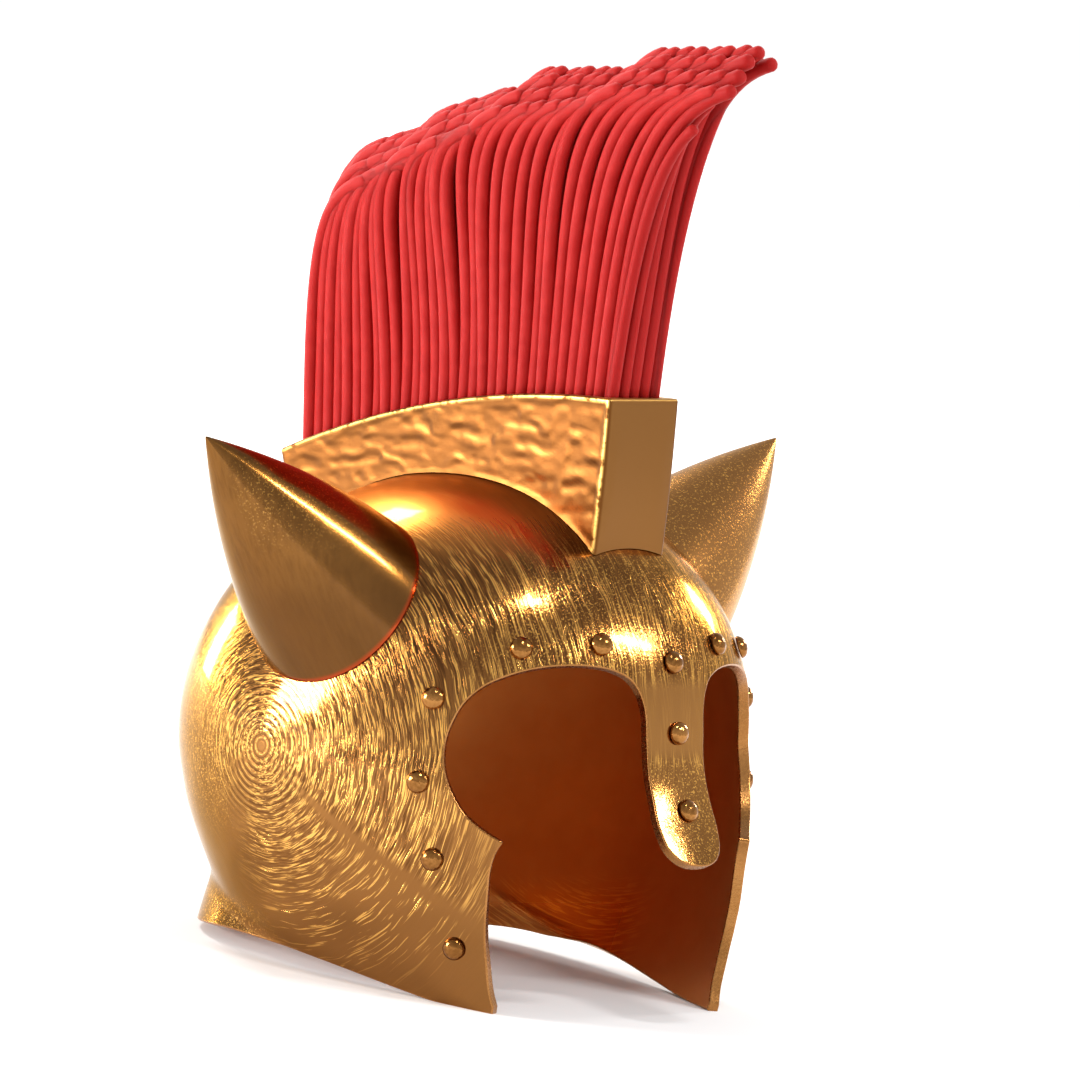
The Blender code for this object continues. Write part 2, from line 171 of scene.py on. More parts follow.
def mesh_object(name, points, faces, materials, face_material=None, normals=None):
    """A smooth-shaded object from points in the helm frame. Rows of normals keep the shading of the true surface."""
    mesh = bpy.data.meshes.new(name)
    if normals is not None:
        # the turn into the object's axes mirrors the points, so the faces are turned over to match their normals
        faces = [tuple(reversed(f)) for f in faces]
    mesh.from_pydata(placed(points).tolist(), [], [tuple(f) for f in faces])
    for material in materials:
        mesh.materials.append(material)
    if face_material is not None:
        mesh.polygons.foreach_set("material_index", np.asarray(face_material, np.int32))
    if normals is None:
        build = bmesh.new()
        build.from_mesh(mesh)
        bmesh.ops.recalc_face_normals(build, faces=build.faces)
        build.to_mesh(mesh)
        build.free()
    mesh.shade_smooth()
    if normals is not None:
        n = turned(normals)
        n /= np.maximum(np.linalg.norm(n, axis=1, keepdims=True), 1e-12)
        mesh.normals_split_custom_set_from_vertices(n.tolist())
    mesh.update()
    obj = bpy.data.objects.new(name, mesh)
    bpy.context.scene.collection.objects.link(obj)
    return obj


def stands_for(obj, slot, *nodes):
    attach(obj, "root")
    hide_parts(*nodes)
    return obj


# ---------------------------------------------------------------- materials
class Nodes:
    """Short calls for a material's node tree."""

    def __init__(self, name):
        self.material = bpy.data.materials.new(name)
        self.material.use_nodes = True
        self.tree = self.material.node_tree
        self.shader = self.tree.nodes["Principled BSDF"]

    def add(self, kind, settings=None, **sockets):
        node = self.tree.nodes.new(kind)
        for key, value in (settings or {}).items():
            setattr(node, key, value)
        for key, value in sockets.items():
            self.put(node.inputs[key.replace("_", " ")], value)
        return node

    def put(self, socket, value):
        if isinstance(value, bpy.types.NodeSocket):
            self.tree.links.new(value, socket)
        else:
            socket.default_value = value

    def sum(self, how, *values):
        node = self.tree.nodes.new("ShaderNodeMath")
        node.operation = how
        for socket, value in zip(node.inputs, values):
            self.put(socket, value)
        return node.outputs[0]

    def range(self, value, low, high, to_low=0.0, to_high=1.0, soft=True):
        node = self.tree.nodes.new("ShaderNodeMapRange")
        node.interpolation_type = "SMOOTHSTEP" if soft else "LINEAR"
        for key, item in (("Value", value), ("From Min", low), ("From Max", high), ("To Min", to_low), ("To Max", to_high)):
            self.put(node.inputs[key], item)
        return node.outputs[0]

    def vector(self, x, y, z):
        node = self.tree.nodes.new("ShaderNodeCombineXYZ")
        for socket, value in zip(node.inputs, (x, y, z)):
            self.put(socket, value)
        return node.outputs[0]

    def noise(self, vector, scale, detail=2.0, rough=0.5, out="Fac"):
        node = self.add("ShaderNodeTexNoise", Vector=vector, Scale=scale, Detail=detail, Roughness=rough)
        return node.outputs[out]

    def mix(self, factor, one, two):
        node = self.tree.nodes.new("ShaderNodeMix")
        node.data_type = "RGBA"
        self.put(node.inputs[0], factor)
        for index, value in ((6, one), (7, two)):
            self.put(node.inputs[index], value if isinstance(value, bpy.types.NodeSocket) else (*value, 1))
        return node.outputs[2]

    def helm(self):
        """x, f and z of the shaded point in the helm's drawing units."""
        where = self.tree.nodes.new("ShaderNodeTexCoord").outputs["Object"]
        away = self.add("ShaderNodeVectorMath", {"operation": "SUBTRACT"})
        self.put(away.inputs[0], where)
        away.inputs[1].default_value = tuple(SHIFT)
        parts = self.tree.nodes.new("ShaderNodeSeparateXYZ")
        self.put(parts.inputs[0], away.outputs[0])
        c, s, k = math.cos(LEAN), math.sin(LEAN), 1 / UNIT
        x = self.sum("MULTIPLY", parts.outputs[0], k)
        f = self.sum("ADD", self.sum("MULTIPLY", parts.outputs[1], -c * k), self.sum("MULTIPLY", parts.outputs[2], s * k))
        z = self.sum("ADD", self.sum("MULTIPLY", parts.outputs[1], s * k), self.sum("MULTIPLY", parts.outputs[2], c * k))
        return x, f, z

    def bump(self, height, strength, distance, normal=None):
        node = self.add("ShaderNodeBump", Height=height, Strength=strength, Distance=distance)
        if normal is not None:
            self.put(node.inputs["Normal"], normal)
        return node.outputs[0]


GOLD = (0.325, 0.140, 0.035)
# colour of painted glints, where scratches and grain would catch a lamp
GOLD_GLINT = (0.95, 0.50, 0.115)
GOLD_DEEP = (0.225, 0.090, 0.021)
GOLD_SHADE = (0.105, 0.036, 0.007)


def shell_metal():
    """Brushed round the ear: fine rings there, then short streaks along circles, with grain at the brow and the flare."""
    n = Nodes("shell_brass")
    x, f, z = n.helm()
    f0, z0 = n.sum("ADD", f, 12.5), n.sum("ADD", z, 9.0)
    r = n.sum("SQRT", n.sum("ADD", n.sum("MULTIPLY", f0, f0), n.sum("MULTIPLY", z0, z0)))
    safe = n.sum("MAXIMUM", r, 4.0)
    turn = n.sum("MULTIPLY", n.sum("ARCTAN2", z0, f0), 57.29578)
    spot = n.vector(x, f, z)
    cloud = n.noise(spot, 0.012, 2.0, 0.5)
    wave = n.sum("MULTIPLY", n.sum("SUBTRACT", n.noise(spot, 0.022, 1.0, 0.5), 0.5), 7.0)
    unit_f, unit_z, from_middle = n.sum("DIVIDE", f0, safe), n.sum("DIVIDE", z0, safe), n.sum("MULTIPLY", n.sum("ABSOLUTE", x), 0.012)
    deep = n.sum("SUBTRACT", 274.0, n.sum("ABSOLUTE", x))
    chord = n.sum("SQRT", n.sum("ADD", n.sum("MULTIPLY", r, r), n.sum("MULTIPLY", deep, deep)))
    bent = n.sum("ADD", chord, wave)

    def streaks(length, width, detail, rough):
        at = n.vector(n.sum("MULTIPLY", unit_f, length), n.sum("MULTIPLY", unit_z, length), n.sum("ADD", n.sum("MULTIPLY", bent, width), from_middle))
        return n.noise(at, 1.0, detail, rough)

    wide = streaks(3.8, 0.42, 1.0, 0.5)
    thin = streaks(7.0, 0.98, 1.0, 0.5)
    grain = n.noise(spot, 0.55, 1.0, 0.5)
    crumbs = n.noise(spot, 0.30, 1.0, 0.5)
    # where each finish lies
    aside = n.range(n.sum("ABSOLUTE", x), 60.0, 130.0)
    upper_nasal = n.sum("MULTIPLY", n.range(n.sum("ABSOLUTE", x), 60.0, 34.0), n.sum("MULTIPLY", n.sum("MULTIPLY", n.range(z, 66.0, 46.0), n.range(z, -34.0, -10.0)), n.range(f, 150.0, 200.0)))
    low_nasal = n.sum("MULTIPLY", n.sum("MULTIPLY", n.range(n.sum("ABSOLUTE", x), 60.0, 40.0), n.range(z, -14.0, -36.0)), n.range(f, 150.0, 200.0))
    above = n.range(turn, -40.5, -36.0)
    below = n.sum("MULTIPLY", n.sum("MULTIPLY", n.range(turn, -42.0, -46.0), n.range(turn, -128.0, -96.0)), n.range(r, 175.0, 100.0))
    scattered = n.sum("MULTIPLY", n.sum("MULTIPLY", n.range(turn, -41.5, -44.0), n.range(turn, -112.0, -92.0)), n.sum("MULTIPLY", n.range(n.sum("ADD", r, n.sum("MULTIPLY", n.sum("ADD", turn, 42.0), -1.3)), 310.0, 215.0), n.range(r, 80.0, 110.0)))
    sparse = n.sum("MULTIPLY", scattered, n.sum("MULTIPLY", n.range(wide, 0.585, 0.620), n.range(thin, 0.44, 0.52)))
    behind = n.sum("ADD", n.sum("MULTIPLY", n.range(turn, -128.0, -150.0), 0.30), n.sum("MULTIPLY", n.range(turn, -150.0, -180.0), 0.70))
    strewn = n.sum("MINIMUM", n.sum("ADD", n.sum("ADD", above, n.sum("MULTIPLY", below, 0.75)), behind), 1.0)
    strewn = n.sum("MULTIPLY", strewn, n.range(z, 150.0, 225.0, 1.0, 0.22))
    # the streaks give way to a fine grain behind the ear
    strewn = n.sum("MULTIPLY", strewn, n.range(f, -60.0, -125.0, 1.0, 0.28))
    low_edge = n.range(n.sum("ADD", z, n.sum("MULTIPLY", f, -0.25)), -262.0, -195.0, 0.45, 1.0, False)
    strewn = n.sum("MULTIPLY", n.sum("MULTIPLY", strewn, low_edge), n.range(n.sum("MAXIMUM", upper_nasal, low_nasal), 0.0, 1.0, 1.0, 0.06, False))
    strewn = n.sum("MULTIPLY", strewn, n.range(n.sum("MULTIPLY", n.range(f, 150.0, 250.0), n.range(z, 20.0, 80.0)), 0.0, 1.0, 1.0, 0.55, False))
    strewn = n.sum("MULTIPLY", strewn, n.range(r, 11.0, 16.0))
    strewn = n.sum("MULTIPLY", strewn, n.range(n.sum("MULTIPLY", n.range(f, 165.0, 215.0), n.range(z, -50.0, -105.0)), 0.0, 1.0, 1.0, 0.25, False))
    brow = n.sum("MULTIPLY", n.range(f, 170.0, 250.0), n.range(z, 40.0, 75.0))
    neck = n.sum("MULTIPLY", n.range(f, -40.0, -130.0), n.range(n.sum("ADD", z, n.sum("MULTIPLY", f, 0.20)), -176.0, -192.0))
    rear = n.sum("MULTIPLY", n.sum("MULTIPLY", n.range(f, -45.0, -95.0), n.range(f, -225.0, -150.0, 0.15, 1.0)), n.range(z, -110.0, -40.0))
    glitter = n.sum("MINIMUM", n.sum("ADD", n.sum("ADD", n.sum("MULTIPLY", brow, 0.80), low_nasal), n.sum("ADD", neck, n.sum("MULTIPLY", rear, 0.9))), 1.0)
    pole = n.sum("MULTIPLY", n.range(r, 96.0, 56.0), n.range(r, 4.0, 7.0))
    ring = n.sum("SINE", n.sum("MULTIPLY", n.sum("ADD", chord, n.sum("MULTIPLY", wave, 0.2)), 0.92))
    # relief
    lines = n.sum("MULTIPLY", n.sum("ADD", n.sum("MULTIPLY", n.range(wide, 0.42, 0.58), 0.50), n.sum("MULTIPLY", n.range(thin, 0.47, 0.58), 0.60)), n.sum("MULTIPLY", strewn, n.range(pole, 0.0, 1.0, 1.0, 0.22, False)))
    bits = n.sum("MULTIPLY", n.sum("ADD", grain, n.sum("MULTIPLY", crumbs, 0.6)), n.sum("ADD", n.sum("MULTIPLY", glitter, 0.6), 0.03))
    height = n.sum("ADD", n.sum("ADD", n.sum("ADD", lines, n.sum("MULTIPLY", sparse, 0.6)), bits), n.sum("MULTIPLY", n.sum("MULTIPLY", ring, pole), 0.85))
    soft = n.bump(cloud, 0.15, 0.0035)
    n.put(n.shader.inputs["Normal"], n.bump(height, 0.7, 0.00011, soft))
    # tone: brown-gold with dark scratches, and light flecks that are painted glints
    tone = n.range(n.sum("ADD", n.sum("MULTIPLY", wide, 0.6), n.sum("MULTIPLY", thin, 0.4)), 0.38, 0.60)
    colour = n.mix(n.range(strewn, 0.0, 1.0, 0.85, 0.0, False), n.mix(tone, GOLD_DEEP, GOLD), GOLD)
    # painted shade: the metal is darkened towards the bottom, towards the back and higher up on the dome
    colour = n.mix(n.sum("MULTIPLY", n.range(z, -50.0, -150.0), 0.52), colour, (0.190, 0.075, 0.017))
    colour = n.mix(n.sum("MULTIPLY", n.sum("MULTIPLY", n.range(f, -20.0, -150.0), n.range(z, 110.0, -40.0)), 0.62), colour, (0.150, 0.056, 0.011))
    colour = n.mix(n.sum("MULTIPLY", n.range(z, 20.0, 90.0), 0.42), colour, (0.190, 0.066, 0.013))
    dark = n.sum("MULTIPLY", n.sum("MULTIPLY", n.range(thin, 0.48, 0.41), n.range(wide, 0.58, 0.46)), n.sum("MULTIPLY", strewn, n.range(z, 20.0, 110.0, 0.75, 1.0)))
    dark_ring = n.sum("MULTIPLY", n.sum("MULTIPLY", n.range(ring, -0.35, -0.95), pole), 0.75)
    colour = n.mix(n.sum("MAXIMUM", dark, dark_ring), colour, GOLD_SHADE)
    # painted glints: bright flecks along the streaks, specks in the grain and bright rings round the ear
    fleck_glint = n.sum("MULTIPLY", n.sum("MULTIPLY", n.range(thin, 0.520, 0.555), n.range(wide, 0.45, 0.51)), strewn)
    speck_glint = n.sum("MULTIPLY", n.sum("MULTIPLY", n.range(grain, 0.54, 0.63), n.range(crumbs, 0.40, 0.56)), glitter)
    ring_glint = n.sum("MULTIPLY", n.sum("MULTIPLY", n.range(ring, 0.55, 0.98), pole), n.range(wide, 0.40, 0.60, 0.15, 0.8, False))
    light = n.sum("MINIMUM", n.sum("ADD", n.sum("ADD", n.sum("ADD", fleck_glint, n.sum("MULTIPLY", sparse, 0.7)), n.sum("MULTIPLY", speck_glint, 0.9)), n.sum("MULTIPLY", ring_glint, 0.8)), 1.0)
    # painted light: the upper nasal is lighter
    colour = n.mix(n.sum("MULTIPLY", upper_nasal, 0.7), colour, (0.43, 0.195, 0.052))
    colour = n.mix(light, colour, GOLD_GLINT)
    # painted reflection: the crown under the crest box is painted a lighter red-orange for the glow of the plume and
    # crest above it, and its metal is duller
    crown = n.sum("MULTIPLY", n.range(z, 165.0, 225.0), n.range(f, 165.0, 225.0, 1.0, 0.6))
    n.put(n.shader.inputs["Base Color"], n.mix(n.sum("MULTIPLY", crown, 0.8), colour, (0.80, 0.270, 0.052)))
    n.shader.inputs["Metallic"].default_value = 1
    n.shader.inputs["Specular Tint"].default_value = (0.88, 0.70, 0.48, 1)
    n.put(n.shader.inputs["Roughness"], n.sum("ADD", n.range(thin, 0.35, 0.65, 0.10, 0.18, False), n.sum("MULTIPLY", crown, 0.18)))
    # a clear lacquer gives the small white highlights
    n.shader.inputs["Coat Weight"].default_value = 0.15
    n.shader.inputs["Coat Roughness"].default_value = 0.05
    return n.material


def plain_metal(name, colour, dark, rough, wobble, grain_size, grain_depth, cloud_depth=0.0015, wear=0.0):
    """Cast and polished brass with a slight unevenness and a fine grain."""
    n = Nodes(name)
    spot = n.vector(*n.helm())
    cloud = n.noise(spot, 0.020, 2.0, 0.5)
    grain = n.noise(spot, grain_size, 2.0, 0.6)
    soft = n.bump(cloud, wobble, cloud_depth)
    n.put(n.shader.inputs["Normal"], n.bump(grain, 0.5, grain_depth, soft))
    tone = n.range(n.sum("ADD", n.sum("MULTIPLY", cloud, 0.6), n.sum("MULTIPLY", grain, 0.4)), 0.35, 0.65)
    n.put(n.shader.inputs["Base Color"], n.mix(tone, dark, colour))
    n.shader.inputs["Metallic"].default_value = 1
    n.put(n.shader.inputs["Roughness"], n.range(grain, 0.3, 0.7, rough * 0.8, rough * 1.2 + wear, False))
    return n.material


def inside_metal():
    """Duller than the outside, with some brushing left low down at the back."""
    n = Nodes("shell_brass_inside")
    x, f, z = n.helm()
    spot = n.vector(x, f, z)
    f0, z0 = n.sum("ADD", f, 12.5), n.sum("ADD", z, 9.0)
    r = n.sum("MAXIMUM", n.sum("SQRT", n.sum("ADD", n.sum("MULTIPLY", f0, f0), n.sum("MULTIPLY", z0, z0))), 4.0)
    cloud = n.noise(spot, 0.020, 2.0, 0.5)
    grain = n.noise(spot, 0.05, 2.0, 0.6)
    along = n.vector(n.sum("MULTIPLY", n.sum("DIVIDE", f0, r), 5.0), n.sum("MULTIPLY", n.sum("DIVIDE", z0, r), 5.0), n.sum("ADD", n.sum("MULTIPLY", r, 0.42), n.sum("MULTIPLY", x, 0.012)))
    drawn = n.noise(along, 1.0, 2.0, 0.6)
    low = n.sum("MULTIPLY", n.range(z, -135.0, -180.0), n.range(f, 60.0, -10.0))
    height = n.sum("ADD", n.sum("MULTIPLY", grain, 0.3), n.sum("MULTIPLY", drawn, n.sum("ADD", n.sum("MULTIPLY", low, 0.9), 0.12)))
    n.put(n.shader.inputs["Normal"], n.bump(height, 0.6, 0.0003, n.bump(cloud, 0.15, 0.0015)))
    tone = n.range(n.sum("ADD", n.sum("MULTIPLY", cloud, 0.6), n.sum("MULTIPLY", grain, 0.4)), 0.35, 0.65)
    colour = n.mix(tone, (0.61, 0.225, 0.052), (0.64, 0.245, 0.059))
    # painted glints: the brushed streaks low down at the back are lighter
    n.put(n.shader.inputs["Base Color"], n.mix(n.sum("MULTIPLY", low, n.range(drawn, 0.50, 0.60)), colour, (0.85, 0.42, 0.10)))
    n.shader.inputs["Metallic"].default_value = 1
    n.put(n.shader.inputs["Roughness"], n.range(low, 0.0, 1.0, 0.46, 0.24, False))
    return n.material


def horn_metal():
    """Smooth and finely drawn along the horn, with a glittery grain towards the outside of the wearer's left one, whose
    sparkle is partly painted glints.
    """
    n = Nodes("horn_brass")
    x, f, z = n.helm()
    spot = n.vector(x, f, z)
    far = n.range(x, -40.0, 40.0)
    cloud = n.noise(spot, 0.018, 1.0, 0.5)
    grain = n.noise(spot, 0.42, 2.0, 0.65)
    drawn_at = n.vector(n.sum("MULTIPLY", n.sum("ABSOLUTE", x), 0.03), n.sum("MULTIPLY", f, 0.33), n.sum("MULTIPLY", z, 0.05))
    drawn = n.noise(drawn_at, 1.0, 3.0, 0.6)
    upper = n.range(f, 30.0, 75.0)
    over = n.range(n.sum("ADD", n.sum("ADD", z, n.sum("MULTIPLY", n.sum("ABSOLUTE", x), -0.846)), 41.8), 8.0, 42.0)
    grit = n.sum("MULTIPLY", grain, n.range(n.sum("MAXIMUM", far, n.sum("MAXIMUM", n.sum("MULTIPLY", upper, 0.10), n.sum("MULTIPLY", over, 0.40))), 0.0, 1.0, 0.05, 0.8, False))
    soft = n.bump(cloud, 0.12, 0.002)
    n.put(n.shader.inputs["Normal"], n.bump(n.sum("ADD", grit, n.sum("MULTIPLY", drawn, 0.10)), 0.5, 0.00034, soft))
    colour = n.mix(n.range(n.sum("ADD", n.sum("MULTIPLY", drawn, 0.6), n.sum("MULTIPLY", cloud, 0.4)), 0.35, 0.62), (0.155, 0.062, 0.011), (0.210, 0.087, 0.017))
    ridge = n.sum("MULTIPLY", n.sum("MULTIPLY", n.range(f, 48.0, 70.0), n.range(z, 170.0, 230.0)), 0.35)
    # painted glints: bright specks on the wearer's left horn and along the upper front ridge
    speck_glint = n.sum("MULTIPLY", n.range(grain, 0.56, 0.68), n.sum("MAXIMUM", n.sum("MULTIPLY", far, 0.9), ridge))
    # painted shade: darker towards the lower side of each horn
    colour = n.mix(n.sum("MULTIPLY", n.range(z, 190.0, 115.0), 0.75), colour, (0.122, 0.047, 0.0085))
    # painted light: the wearer's left horn is painted lighter than the right one
    colour = n.mix(n.sum("MULTIPLY", far, 0.8), colour, (0.400, 0.175, 0.048))
    colour = n.mix(speck_glint, colour, GOLD_GLINT)
    # painted reflection: a red-orange line where the horn meets the dome, for the light bounced about in that crease
    foot = n.add("ShaderNodeAttribute", {"attribute_name": "foot"}).outputs["Fac"]
    n.put(n.shader.inputs["Base Color"], n.mix(n.range(foot, 0.35, 0.95), colour, (0.38, 0.050, 0.008)))
    n.shader.inputs["Metallic"].default_value = 1
    n.shader.inputs["Specular Tint"].default_value = (0.90, 0.76, 0.58, 1)
    n.put(n.shader.inputs["Roughness"], n.sum("MAXIMUM", n.range(far, 0.0, 1.0, 0.18, 0.25, False), n.sum("MULTIPLY", over, 0.24)))
    n.shader.inputs["Coat Weight"].default_value = 0.20
    n.shader.inputs["Coat Roughness"].default_value = 0.06
    return n.material


def crest_metal():
    """Hammered on the long sides, smooth at both ends and along the edges. The mesh carries painted light and shade
    from the slope of the hammering, and a painted highlight along the top and front edges.
    """
    n = Nodes("crest_brass")
    x, f, z = n.helm()
    spot = n.vector(x, f, z)
    aside = n.range(n.sum("ABSOLUTE", x), 44.0, 47.5)
    grain = n.noise(spot, 0.30, 2.0, 0.6)
    slope = n.add("ShaderNodeAttribute", {"attribute_name": "slope_shading"}).outputs["Fac"]
    edge_highlight = n.add("ShaderNodeAttribute", {"attribute_name": "edge_highlight"}).outputs["Fac"]
    n.put(n.shader.inputs["Normal"], n.bump(grain, 0.4, 0.00008))
    # painted light and shade: lighter where the hammered surface leans up, darker where it leans down
    colour = n.mix(n.range(slope, 0.12, 0.46), (0.121, 0.041, 0.0086), (0.158, 0.057, 0.0128))
    colour = n.mix(n.range(slope, 0.62, 0.92), colour, (0.245, 0.112, 0.0245))
    colour = n.mix(aside, (0.221, 0.096, 0.0255), colour)
    torn = n.noise(n.vector(n.sum("MULTIPLY", f, 0.09), n.sum("MULTIPLY", x, 0.0), n.sum("MULTIPLY", z, 0.09)), 1.0, 2.0, 0.6)
    # painted highlight: a thin bright irregular line along the top and front edges of the sides
    colour = n.mix(n.sum("MULTIPLY", edge_highlight, n.range(torn, 0.36, 0.52)), colour, (0.86, 0.50, 0.13))
    n.put(n.shader.inputs["Base Color"], colour)
    n.shader.inputs["Metallic"].default_value = 1
    n.put(n.shader.inputs["Roughness"], n.range(aside, 0.0, 1.0, 0.42, 0.34, False))
    return n.material


def strand_cloth():
    """Matt red, with painted shade deep down between the strands and on the front strands."""
    n = Nodes("plume_red")
    x, f, z = n.helm()
    spot = n.vector(x, f, z)
    fuzz = n.noise(spot, 0.9, 2.0, 0.6)
    soft = n.noise(spot, 0.05, 2.0, 0.5)
    deep = n.add("ShaderNodeAmbientOcclusion", {"samples": 4}, Distance=0.008).outputs["AO"]
    colour = n.mix(n.range(soft, 0.3, 0.7), (0.350, 0.0080, 0.0068), (0.390, 0.0125, 0.0105))
    # painted shade: darker where the strands hide one another
    colour = n.mix(n.range(deep, 0.05, 0.70), (0.375, 0.0075, 0.0065), colour)
    # painted shade: the front strands are darker
    front = n.add("ShaderNodeAttribute", {"attribute_name": "front"}).outputs["Fac"]
    n.put(n.shader.inputs["Base Color"], n.mix(front, colour, (0.315, 0.0065, 0.0055)))
    n.put(n.shader.inputs["Normal"], n.bump(fuzz, 0.35, 0.0004))
    n.shader.inputs["Roughness"].default_value = 0.62
    n.shader.inputs["Subsurface Weight"].default_value = 0.45
    n.shader.inputs["Subsurface Radius"].default_value = (1.0, 0.12, 0.10)
    n.shader.inputs["Subsurface Scale"].default_value = 0.0045
    n.shader.inputs["Specular IOR Level"].default_value = 0.14
    n.shader.inputs["Sheen Weight"].default_value = 0.03
    n.shader.inputs["Sheen Roughness"].default_value = 0.5
    n.shader.inputs["Sheen Tint"].default_value = (1.0, 0.55, 0.50, 1)
    return n.material


shell_brass = shell_metal()
inside_brass = inside_metal()
rim_brass = plain_metal("shell_brass_rim", (0.43, 0.195, 0.060), (0.34, 0.145, 0.040), 0.26, 0.2, 0.35, 0.00015)
horn_brass = horn_metal()
crest_brass = crest_metal()
rivet_brass = plain_metal("rivet_brass", (0.40, 0.180, 0.050), (0.22, 0.088, 0.021), 0.13, 0.4, 0.30, 0.00030)
plume_red = strand_cloth()


# ---------------------------------------------------------------- shell
def disc_of(x, z):
    v = math.acos(z / DOME_TOP) / (math.pi / 2) if z > 0 else 1 - z / PER_V
    side = DOME_SIDE * math.sqrt(1 - (z / DOME_TOP) ** 2) if z > 0 else float(smooth(SIDE, z))
    turn = math.asin(max(-1, min(1, x / side)))
    return v * math.sin(turn), v * math.cos(turn)


def resample(points, gap):
    pts = np.array(points, float)
    reach = np.concatenate([[0], np.cumsum(np.linalg.norm(np.diff(pts, axis=0), axis=1))])
    at = np.linspace(0, reach[-1], max(2, round(reach[-1] / gap)) + 1)
    return np.stack([smooth(list(zip(reach, pts[:, k])), at) for k in (0, 1)], axis=-1)


def rim_places(gap):
    start = math.acos(197.0 / 356.0)
    turn = np.linspace(start, math.pi, round(760 / gap) + 1)
    z = np.full(len(turn), -200.0)
    for _ in range(40):
        v = 1 - z / PER_V
        z = 0.5 * z + 0.5 * smooth(RIM, skin(v * np.sin(turn), v * np.cos(turn))[:, 1])
    v = 1 - z / PER_V
    return list(zip((v * np.sin(turn)).tolist(), (v * np.cos(turn)).tolist()))


def outline(gap):
    eye = [disc_of(x, z) for x, z in resample(OPENING_EYE, gap)]
    cheek = [disc_of(x, z) for x, z in resample(OPENING_CHEEK, gap)]
    half = eye + cheek[1:] + rim_places(gap)
    return half + [(-p, q) for p, q in half[-2:0:-1]]


def even(at):
    v = np.maximum(np.hypot(at[:, 0], at[:, 1]), 1e-9)
    return at * (np.where(v < 1, np.tan(np.minimum(v, 1) * math.pi / 4), np.exp((v - 1) * math.pi / 2)) / v)[:, None]


def uneven(at):
    r = np.maximum(np.hypot(at[:, 0], at[:, 1]), 1e-9)
    return at * (np.where(r < 1, 4 / math.pi * np.arctan(r), 1 + np.log(np.maximum(r, 1)) * 2 / math.pi) / r)[:, None]


def make_shell(gap, spacing):
    edge = np.array(outline(gap))
    ring = skin(edge[:, 0], edge[:, 1])
    spots, v, turn_on = [(0.0, 0.0)], spacing / PER_V, 0.0
    while v < 1.75:
        a = np.linspace(0, 2 * math.pi, 61)
        around = skin(v * np.sin(a), v * np.cos(a))
        count = 2 * max(3, round(np.linalg.norm(np.diff(around, axis=0), axis=1).sum() / spacing / 2))
        turn_on = 0.5 - turn_on
        a = 2 * math.pi * (np.arange(count) + turn_on) / count
        spots += list(zip(v * np.sin(a), v * np.cos(a)))
        v += 0.9 * spacing / PER_V
    spots = np.array(spots)
    at = skin(spots[:, 0], spots[:, 1])
    away = np.concatenate([np.sqrt(((at[i : i + 1500, None] - ring[None]) ** 2).sum(axis=2)).min(axis=1) for i in range(0, len(at), 1500)])
    loop = len(edge)
    every = even(np.concatenate([edge, spots[away > max(0.6 * spacing, EDGE * 1.6)]]))
    flat, _, tris, came, *_ = delaunay_2d_cdt([Vector(p) for p in every], [(i, (i + 1) % loop) for i in range(loop)], [], 1, 1e-9)
    at = uneven(np.array([tuple(p) for p in flat]))
    outer, normal = skin(at[:, 0], at[:, 1]), skin_normal(at[:, 0], at[:, 1])
    m = len(at)
    index = {}
    for i, sources in enumerate(came):
        for s in sources:
            if s < loop:
                index[s] = i
    border = np.array([index[i] for i in range(loop)])
    here, up = outer[border], normal[border]
    tangent = np.roll(here, -1, axis=0) - np.roll(here, 1, axis=0)
    tangent /= np.linalg.norm(tangent, axis=1, keepdims=True)
    # sideways, into the metal: its sense is the one that leads away from the loop's open side
    inward = np.cross(up, tangent)
    inward /= np.linalg.norm(inward, axis=1, keepdims=True)
    k = int(np.argmin(np.abs(edge[:, 0]) + np.abs(edge[:, 1] - edge[0, 1])))
    if inward[k][2] < 0:
        inward = -inward
    under = here - WALL * up
    outer[border] = here + EDGE * inward
    inner = outer - WALL * normal
    inner[border] = under + EDGE * inward
    points, normals = [outer, inner], [normal, -normal]
    for base, sign, angles in ((here, 1, (22.5, 45, 67.5, 90)), (under, -1, (90, 67.5, 45, 22.5))):
        for a in np.radians(angles):
            n = sign * up * math.cos(a) - inward * math.sin(a)
            points.append(base + EDGE * (inward - sign * up) + EDGE * n)
            normals.append(n)
    points, normals = np.concatenate(points), np.concatenate(normals)
    rows = [border] + [2 * m + k * loop + np.arange(loop) for k in range(8)] + [border + m]
    faces = [tuple(t) for t in tris] + [tuple(i + m for i in reversed(t)) for t in tris]
    kinds = [0] * len(tris) + [1] * len(tris)
    # the strip faces take their sense from the triangles beside them
    sample = set()
    for a, b, c in tris:
        sample.update(((a, b), (b, c), (c, a)))
    forward = (int(border[0]), int(border[1])) in sample
    for k in range(len(rows) - 1):
        one, two = rows[k], rows[k + 1]
        nxt = np.roll(np.arange(loop), -1)
        for i in range(loop):
            a, b, c, d = int(one[i]), int(one[nxt[i]]), int(two[nxt[i]]), int(two[i])
            faces.append((b, a, d, c) if forward else (a, b, c, d))
            kinds.append(2)
    # the spots outside the outline carry no face and are left out
    kept = np.array(sorted({int(i) for f in faces for i in f}))
    place = np.zeros(len(points), int)
    place[kept] = np.arange(len(kept))
    return points[kept], [tuple(int(place[i]) for i in f) for f in faces], kinds, normals[kept]


points, faces, kinds, normals = make_shell(3.2, 6.2)
shell = stands_for(mesh_object("helm_shell", points, faces, [shell_brass, inside_brass, rim_brass], kinds, normals), "shell_brass", "shell")


